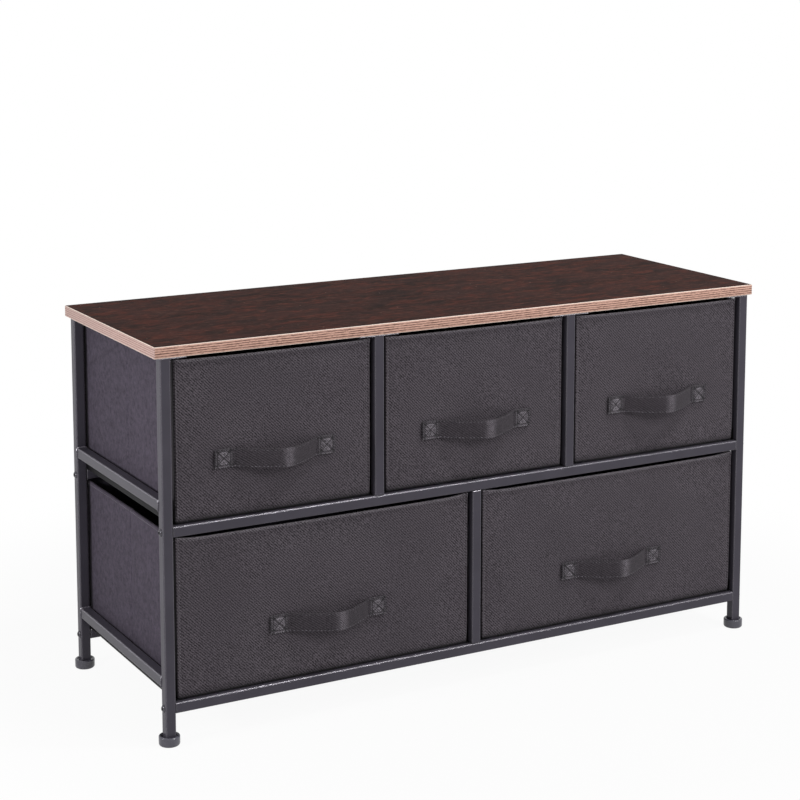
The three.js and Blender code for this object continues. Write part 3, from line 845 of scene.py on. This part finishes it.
def front_shift(x, z, low, high, seed):
    """How far the front stands out from its flat face at a place on it."""
    across = 2 * (x - low.x) / (high.x - low.x) - 1
    up = 2 * (z - low.z) / (high.z - low.z) - 1
    pad = front_padding * max(0, 1 - across ** 4) * max(0, 1 - up ** 4)
    return pad + cloth_swell(Vector((x, low.y, z)), seed)


def groove(distance):
    """How far a seam draws the cloth in at a distance from it."""
    return groove_depth * max(0, 1 - (distance / groove_width) ** 2)


# %% Grid in the cloth
def cut_grid(form, low, high):
    """Cuts the cloth box along parallel planes, closer together beside the seams."""
    size = high - low
    middle = (low + high) / 2
    cuts = []
    for axis in range(3):
        count = round(size[axis] / cell)
        cuts += [(axis, low[axis] + size[axis] * step / count) for step in range(1, count)]
    for axis, seam in ((0, low.x + seam_inset), (0, high.x - seam_inset), (1, low.y + seam_inset),
                       (1, high.y - seam_inset), (1, middle.y), (2, high.z - hem_height)):
        cuts += [(axis, seam + offset * groove_width) for offset in (-1, 0, 1)]
    cuts += [(2, high.z - rim_cut), (1, low.y + shade_tape_width)]
    for axis, level in cuts:
        normal = Vector([1 if number == axis else 0 for number in range(3)])
        everything = form.verts[:] + form.edges[:] + form.faces[:]
        bmesh.ops.bisect_plane(form, geom=everything, dist=cut_tolerance, plane_co=normal * level,
                               plane_no=normal)


# %% Drawer walls
# The order of the drawer's materials
FRONT, WALL, LINING, SHADE_TAPE = range(4)


def drawer_cloth(bay, seed):
    """The cloth box of one drawer, in the space that its solid holds in the model."""
    low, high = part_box(f"drawer_box_{bay}")
    form = box_form(high - low - Vector((2, 2, 0)) * hem_proud, (low + high) / 2)
    lid = [face for face in form.faces if face.normal.z > LOOKS_ALONG]
    bmesh.ops.delete(form, geom=lid, context="FACES")
    folds = [edge for edge in form.edges if len(edge.link_faces) == 2]
    bmesh.ops.bevel(form, geom=folds, offset=corner_radius, segments=4, profile=0.5, affect="EDGES",
                    material=-1)
    cut_grid(form, low, high)
    form.normal_update()
    # The upper drawers have plates just over their corners, and the middle one screws under its floor
    corner_rise = stiff_corner_rise if bay.startswith("lower") else 0.0
    floor_sag = 0.0 if bay == "upper_centre" else loaded_floor_sag
    slack = (left_slack if bay == "upper_left" else 0.0, right_slack)
    painted_highlight = form.verts.layers.float.new("painted_highlight")
    painted_shade = form.verts.layers.float.new("painted_shade")
    # A painted highlight along the rim, and painted shade, near black, along the lower edges
    for vert in form.verts:
        vert[painted_highlight] = max(0.0, 1 - (high.z - vert.co.z) / rim_highlight_width)
        vert[painted_shade] = min(1.0, max(0.0, edge_shade - edge_shade * (vert.co.z - low.z) / shaded_edge))
    settle_cloth(form, low, high, seed, corner_rise, floor_sag, slack)
    form.normal_update()
    for face in form.faces:
        place = face.calc_center_median()
        beside_corner = min(place.x - low.x, high.x - place.x) < seam_inset
        # The cloth beside the corners, at the back and near the front, is the black tape of painted shade
        shade_taped = beside_corner and (place.y > high.y - seam_inset or place.y < low.y + shade_tape_width)
        face.material_index = FRONT if face.normal.y < -front_share else SHADE_TAPE if shade_taped else WALL
    outside = set(form.verts)
    bmesh.ops.solidify(form, geom=form.faces[:], thickness=wall_thickness)
    for vert in form.verts:
        if vert not in outside and vert.co.y < low.y + front_thickness:
            vert.co.y += front_thickness - wall_thickness
    for face in form.faces:
        if all(vert not in outside for vert in face.verts):
            face.material_index = LINING
    return form


# %% Settling the cloth
def settle_cloth(form, low, high, seed, corner_rise, floor_sag, slack):
    """Moves every point of the cloth box out, in or down to where the cloth would lie."""
    middle = (low + high) / 2
    half = (high - low) / 2
    moves = []
    for vert in form.verts:
        point = vert.co
        from_runner = half.x - abs(point.x - middle.x) - runner_reach
        floor_edge = max(0, 1 - (point.z - low.z) / corner_radius)
        sunk = floor_sag * min(1, max(0, from_runner / floor_sag_reach)) * floor_edge
        out = Vector((vert.normal.x, vert.normal.y, 0))
        if out.length < floor_share or point.z < low.z + corner_radius / 2:
            moves.append((vert, Vector((0, 0, -sunk))))
            continue
        out.normalize()
        on_side = abs(out.x) > wall_share
        on_hem = point.z > high.z - hem_height
        rise = min(1, (point.z - low.z) / stiff_height)
        near_front = max(0, 1 - (point.y - low.y) / slack_reach)
        if out.y < -wall_share:
            shift = front_shift(point.x, point.z, low, high, seed)
            shift -= groove(abs(abs(point.x - middle.x) - half.x + seam_inset))
        else:
            shift = cloth_swell(point, seed)
        if on_side:
            from_fold = abs(point.y - middle.y)
            shift -= fold_lean * max(0, 1 - from_fold / half.y)
            shift -= fold_depth * max(0, 1 - from_fold / fold_half_width)
            shift -= groove(abs(from_fold - half.y + seam_inset))
        if min(abs(out.x), abs(out.y)) > corner_share:
            shift = bound_welt_height if out.y > 0 else welt_height
        if abs(out.x) > corner_share:
            shift -= slack[0] * near_front if out.x < 0 else slack[1]
        if point.z > high.z - hem_height - hem_tolerance:
            shift += hem_proud
        shift -= hem_groove_share * groove(abs(point.z - high.z + hem_height))
        across = (point.y - middle.y) / half.y if on_side else (point.x - middle.x) / half.x
        sag_share = 0 if out.y > LOOKS_ALONG else max(0, 1 - across ** 2)
        top_share = max(0, (point.z - middle.z) / half.z) ** 2
        raised_back = out.y > corner_share and on_hem
        lift = back_rise * rise if raised_back else -rim_sag * sag_share * top_share
        from_corner = math.hypot(half.x - abs(point.x - middle.x), point.y - low.y)
        lift -= front_drop * near_front * top_share * min(1, from_corner / drop_reach)
        if on_hem:
            lift += corner_rise * max(0, 1 - from_corner / corner_reach) ** 2
        moves.append((vert, out * shift * rise + Vector((0, 0, lift - sunk))))
    for vert, move in moves:
        vert.co += move


# %% [markdown]
# ## Stitches
#
# Sewing is a row of small stitches, and each is a short fat thread sunk at both ends: a sphere of
# few faces drawn out along the seam. The sewing function walks a straight line at an even
# spacing, drops each stitch onto the cloth along the way that the seam faces, and turns it to the
# cloth there. A search tree of the cloth's faces finds the spot, so that stitches follow folds.

# %% Sewing
stitch_length = 3.3 * MM
stitch_spacing = 5.0 * MM
# A real thread is half this thick, which is too fine to show
stitch_width = 0.9 * MM
stitch_flatness = 0.45
rim_stitch_drop = 4.5 * MM
rim_stitch_inset = corner_radius + 1 * MM
search_reach = 25 * MM


def sew(form, cloth, start, end, facing, length=stitch_length, spacing=stitch_spacing, width=stitch_width):
    """Sews a row of stitches from start to end into a cloth that looks along facing."""
    count = max(1, round((end - start).length / spacing))
    step = (end - start) / count
    row = bmesh.new()
    for number in range(count):
        above = start + step * (number + 0.5) + facing * search_reach
        spot, normal, _, _ = cloth.ray_cast(above, -facing, 2 * search_reach)
        if spot is None:
            continue
        side = step.cross(normal).normalized()
        turn = Matrix((normal.cross(side), side, normal)).transposed().to_4x4()
        shape = Matrix.Diagonal((length / 2, width / 2, width * stitch_flatness, 1))
        bmesh.ops.create_icosphere(row, subdivisions=1, radius=1.0,
                                   matrix=Matrix.Translation(spot) @ turn @ shape)
    row_mesh = bpy.data.meshes.new("row_of_stitches")
    row.to_mesh(row_mesh)
    row.free()
    form.from_mesh(row_mesh)
    bpy.data.meshes.remove(row_mesh)


def drawer_stitches(cloth, low, high):
    """The seams of one drawer: round the rim, and down both sides of its front."""
    form = bmesh.new()
    rim = high.z - rim_stitch_drop
    left, right = low.x + rim_stitch_inset, high.x - rim_stitch_inset
    front, back = low.y + rim_stitch_inset, high.y - rim_stitch_inset
    rim_seams = [
        ((left, low.y), (right, low.y), (0, -1)),
        ((right, high.y), (left, high.y), (0, 1)),
        ((low.x, back), (low.x, front), (-1, 0)),
        ((high.x, front), (high.x, back), (1, 0)),
    ]
    for start, end, facing in rim_seams:
        sew(form, cloth, Vector((*start, rim)), Vector((*end, rim)), Vector((*facing, 0)))
    foot = low.z + 2 * corner_radius
    for x in (low.x + seam_inset, high.x - seam_inset):
        sew(form, cloth, Vector((x, low.y, foot)), Vector((x, low.y, high.z - hem_height)),
            Vector((0, -1, 0)))
    return form


# %% [markdown]
# ## Strap handles
#
# Each handle is a doubled strip of the same twill. Its ends lie flat on the front and are sewn
# down with a box and a cross, which leaves four small cushions between the seams; between the ends
# it is longer than the distance it spans, so it bows out and hangs a little lower in the middle.
# The strip starts as a grid that is bent to that line, with most of its points in the two ends.
# Each point also gets its two marks: painted shade along the seams, and a painted highlight on the
# cushions, the lower edges and the crest of the bow.

# %% Strap
patch_cells = 20
bow_cells = 30
strap_rows = 28
strap_thickness = 2.2 * MM
strap_seat_gap = 0.3 * MM
# The sewn ends
patch_length = 26 * MM
patch_seam_inset = 3.4 * MM
seam_box_reach = patch_length / 2 - patch_seam_inset
cushion_height = 1.7 * MM
cushion_shoulder = 2.6 * MM
cushion_roundness = 0.7
# The bow, which stands out furthest a little right of its middle
strap_droop = 5 * MM
strap_cup = 0.9 * MM
strap_crest, strap_crest_width = 0.17, 0.14
leaving_share, leaving_height_share = 0.12, 0.4
# Where the strap has painted shade or a painted highlight
seam_shade_width = 1.5 * MM
crest_from_seam, crest_half_width = 2.3 * MM, 1.0 * MM
crest_highlight, side_crest_highlight = 0.4, 0.2
lower_edge_share, lower_edge_highlight = 0.94, 0.9
highlight_width_share = 0.1
# The order of the strap's materials
BOW, SEWN_END = range(2)


def strap_line(share, span, stand_off):
    """How far out and down the strap's middle runs, at a share from -1 to 1 of its length."""
    if abs(share) >= span:
        return 0.0, 0.0
    crest = strap_crest * span
    from_crest = abs(share - crest) / (span - crest if share > crest else span + crest)
    rounded = math.hypot(from_crest, strap_crest_width)
    top = math.hypot(1, strap_crest_width)
    bow = (top - rounded) / (top - strap_crest_width)
    leaving = min(1, (span - abs(share)) / (leaving_share * span))
    height_share = leaving_height_share + (1 - leaving_height_share) * leaving
    return stand_off * bow * height_share, strap_droop * math.sin(math.pi / 2 * bow)


def in_seam_box(along, up):
    """True inside the box of seams, at a place measured from the middle of a sewn end."""
    return max(abs(along), abs(up)) < seam_box_reach


def from_seam(along, up):
    """The distance from the nearest seam of a sewn end, at a place measured from its middle."""
    to_box = min(abs(abs(along) - seam_box_reach), abs(abs(up) - seam_box_reach))
    to_cross = abs(abs(along) - abs(up)) / math.sqrt(2)
    return min(to_box, to_cross) if in_seam_box(along, up) else to_box


# %% Bending and marking the strap
def strap_handle(bay, seed):
    """The strap of one drawer, the function that lays its points, and the two sizes its seams need."""
    low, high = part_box(f"drawer_strap_{bay}")
    box_low, box_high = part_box(f"drawer_box_{bay}")
    half_length = (high.x - low.x) / 2
    half_height = (high.z - low.z - strap_droop) / 2
    middle_x = (low.x + high.x) / 2
    middle_z = high.z - half_height
    face_y = box_low.y + hem_proud
    span = 1 - patch_length / half_length
    stand_off = face_y - low.y - strap_thickness - cushion_height
    patch_step = (1 - span) / patch_cells
    columns = [-1 + patch_step * step for step in range(patch_cells)]
    columns += [-span + 2 * span * step / bow_cells for step in range(bow_cells)]
    columns += [span + patch_step * step for step in range(patch_cells + 1)]

    def lay(share, row):
        """The place on the strap's inner face at shares along and up the strap."""
        out, drop = strap_line(share, span, stand_off)
        x = middle_x + half_length * share
        z = middle_z + half_height * row
        on_bow = abs(share) < span
        rest = front_shift(x, middle_z if on_bow else z, box_low, box_high, seed)
        if on_bow:
            puff = strap_cup * (1 - row * row) * (out / stand_off)
        else:
            distance = from_seam(half_length * (abs(share) - (1 + span) / 2), half_height * row)
            puff = cushion_height * min(1, distance / cushion_shoulder) ** cushion_roundness
        return Vector((x, face_y - rest - strap_seat_gap - out - puff, z - drop))

    form = bmesh.new()
    painted_highlight = form.verts.layers.float.new("painted_highlight")
    painted_shade = form.verts.layers.float.new("painted_shade")
    bmesh.ops.create_grid(form, x_segments=len(columns) - 1, y_segments=strap_rows, size=1.0)
    for vert in form.verts:
        share = columns[round((vert.co.x + 1) / 2 * (len(columns) - 1))]
        # A painted highlight at the crest of the bow
        vert[painted_highlight] = math.exp(-((share / span - strap_crest) / highlight_width_share) ** 2)
        if abs(share) >= span:
            along = half_length * (abs(share) - (1 + span) / 2)
            up = half_height * vert.co.y
            distance = from_seam(along, up)
            # Painted shade along the seams of the sewn ends, and painted highlights on their cushions and
            # lower edge
            vert[painted_shade] = max(0.0, 1 - distance / seam_shade_width)
            on_crest = max(0.0, 1 - abs(distance - crest_from_seam) / crest_half_width)
            most = crest_highlight if abs(up) > abs(along) else side_crest_highlight
            vert[painted_highlight] = on_crest * most if in_seam_box(along, up) else 0.0
            if vert.co.y < -lower_edge_share:
                vert[painted_highlight] = lower_edge_highlight
        vert.co = lay(share, vert.co.y)
    form.normal_update()
    if form.faces[:][0].normal.y > 0:
        bmesh.ops.reverse_faces(form, faces=form.faces[:])
    for face in form.faces:
        beyond_bow = abs(face.calc_center_median().x - middle_x) > span * half_length
        face.material_index = SEWN_END if beyond_bow else BOW
    bmesh.ops.solidify(form, geom=form.faces[:], thickness=-strap_thickness)
    bmesh.ops.recalc_face_normals(form, faces=form.faces[:])
    return form, lay, span, half_height


# %% Stitches of the straps
box_stitch_length = 3.0 * MM
box_stitch_width = 1.0 * MM
cut_edge_share = 0.96
bow_runs = 24
bow_seam_share = 0.97
bow_seam_inset = 1.6 * MM
bow_stitch_spacing = 4.6 * MM
lower_stitch_width = 1.1 * MM
upper_stitch_width = 0.6 * MM


def strap_stitches(cloth, lay, span, half_height):
    """In each end a box and a cross, and the overlocked cut edge round them."""
    form = bmesh.new()
    facing = Vector((0, -1, 0))
    seam = 1 - patch_seam_inset / half_height
    along_seam = (1 - span) / 2 * seam
    along_edge = (1 - span) / 2 * cut_edge_share
    for side in (-1, 1):
        middle = side * (1 + span) / 2
        corners = [(-1, -1), (1, -1), (1, 1), (-1, 1)]
        spots = [lay(middle + across * along_seam, up * seam) for across, up in corners]
        runs = list(zip(spots, spots[1:] + spots[:1])) + [(spots[0], spots[2]), (spots[1], spots[3])]
        edges = [lay(middle + across * along_edge, up * cut_edge_share) for across, up in corners]
        runs += zip(edges, edges[1:] + edges[:1])
        for start, end in runs:
            sew(form, cloth, start, end, facing, box_stitch_length, box_stitch_length, box_stitch_width)
    return form


def bow_stitches(cloth, lay, span, half_height):
    """A row of stitches near the lower edge of the bow, and one near the upper edge."""
    form = bmesh.new()
    row = 1 - bow_seam_inset / half_height
    for up, width in ((-row, lower_stitch_width), (row, upper_stitch_width)):
        spots = [lay(span * bow_seam_share * (2 * step / bow_runs - 1), up) for step in range(bow_runs + 1)]
        for start, end in zip(spots, spots[1:]):
            normal = (end - start).cross(Vector((0, 0, 1))).normalized()
            sew(form, cloth, start, end, normal, spacing=bow_stitch_spacing, width=width)
    return form


# %% [markdown]
# ## Base boards
#
# A loose board covered in the same felt as the lining keeps the floor of each drawer flat.

# %% Base board
base_edge = 1.1 * MM


def base_cover(bay):
    """The loose base board: a slab with soft edges under its cloth."""
    low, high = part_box(f"drawer_base_{bay}")
    form = box_form(high - low, (low + high) / 2)
    bmesh.ops.bevel(form, geom=form.edges[:], offset=base_edge, segments=3, profile=0.5, affect="EDGES",
                    material=-1)
    return form


# %% Assemble the five drawers
seed_step = Vector((3.7, 1.9, 5.3))
strap_edge = 0.6 * MM
bays = [name.removeprefix("drawer_box_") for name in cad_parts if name.startswith("drawer_box_")]
for number, bay in enumerate(sorted(bays)):
    body = f"drawer_{bay}"
    seed = seed_step * (number + 1)
    cloth_form = drawer_cloth(bay, seed)
    cloth_tree = BVHTree.FromBMesh(cloth_form)
    box_low, box_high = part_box(f"drawer_box_{bay}")
    box = make_piece(f"drawer_cloth_{bay}", cloth_form, body,
                     [front_twill, wall_felt, lining_felt, corner_tape_painted_shade],
                     replaces=[f"drawer_box_{bay}"], sharp_degrees=180)
    smooth = box.modifiers.new("soft_edges", "SUBSURF")
    smooth.levels = smooth.render_levels = 1
    make_piece(f"drawer_seams_{bay}", drawer_stitches(cloth_tree, box_low, box_high), body,
               [pale_thread])
    make_piece(f"base_board_{bay}", base_cover(bay), body, [lining_felt],
               replaces=[f"drawer_base_{bay}"])
    strap_form, lay, span, half_height = strap_handle(bay, seed)
    strap_tree = BVHTree.FromBMesh(strap_form)
    strap = make_piece(f"strap_handle_{bay}", strap_form, body,
                       [strap_twill_shaded, strap_end_twill_lit], replaces=[f"drawer_strap_{bay}"], sharp_degrees=50)
    soft = strap.modifiers.new("soft_edges", "BEVEL")
    soft.width = strap_edge
    soft.segments = 2
    soft.limit_method = "ANGLE"
    make_piece(f"strap_box_seams_{bay}", strap_stitches(strap_tree, lay, span, half_height), body,
               [dark_thread])
    make_piece(f"strap_edge_seams_{bay}", bow_stitches(strap_tree, lay, span, half_height), body,
               [strap_thread])
    print(bay, "drawer:", len(box.data.vertices), "points in its cloth")
